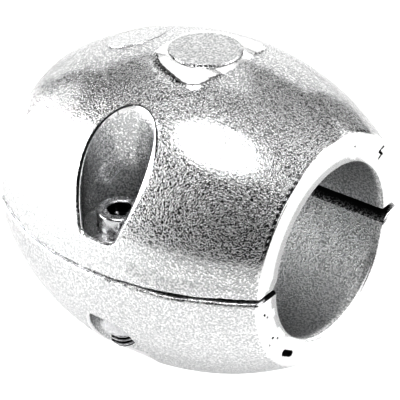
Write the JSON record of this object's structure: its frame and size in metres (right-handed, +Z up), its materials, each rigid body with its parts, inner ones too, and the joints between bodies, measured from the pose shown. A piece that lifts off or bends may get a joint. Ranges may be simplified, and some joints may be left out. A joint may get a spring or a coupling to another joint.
{
  "type": "propeller shaft anode",
  "caption": "Egg-shaped zinc sacrificial anode in halves that clamp round a boat's propeller shaft with recessed socket-head screws, to corrode in place of the shaft and propeller.",
  "frame": {"origin": "on the shaft's axis, at the middle of the anode's length and in the plane where the castings part", "axes": "+X along the propeller shaft, away from the end with the second round pad; +Z up, square to the parting plane, out of the upper casting's crown; +Y to the left, the side of the screw whose head is below"},
  "size_m": [0.0724, 0.0756, 0.0746],
  "materials": {
    "cast_zinc": "bare cast zinc, bright silver grey with a fine sandy grain",
    "plain_steel": "plain bright steel, lightly turned"
  },
  "bodies": {
    "root": {"upper_casting": "cast_zinc", "lower_casting": "cast_zinc", "right_screw": "plain_steel", "left_screw": "plain_steel", "right_nut": "plain_steel", "left_nut": "plain_steel"}
  },
  "joints": []
}
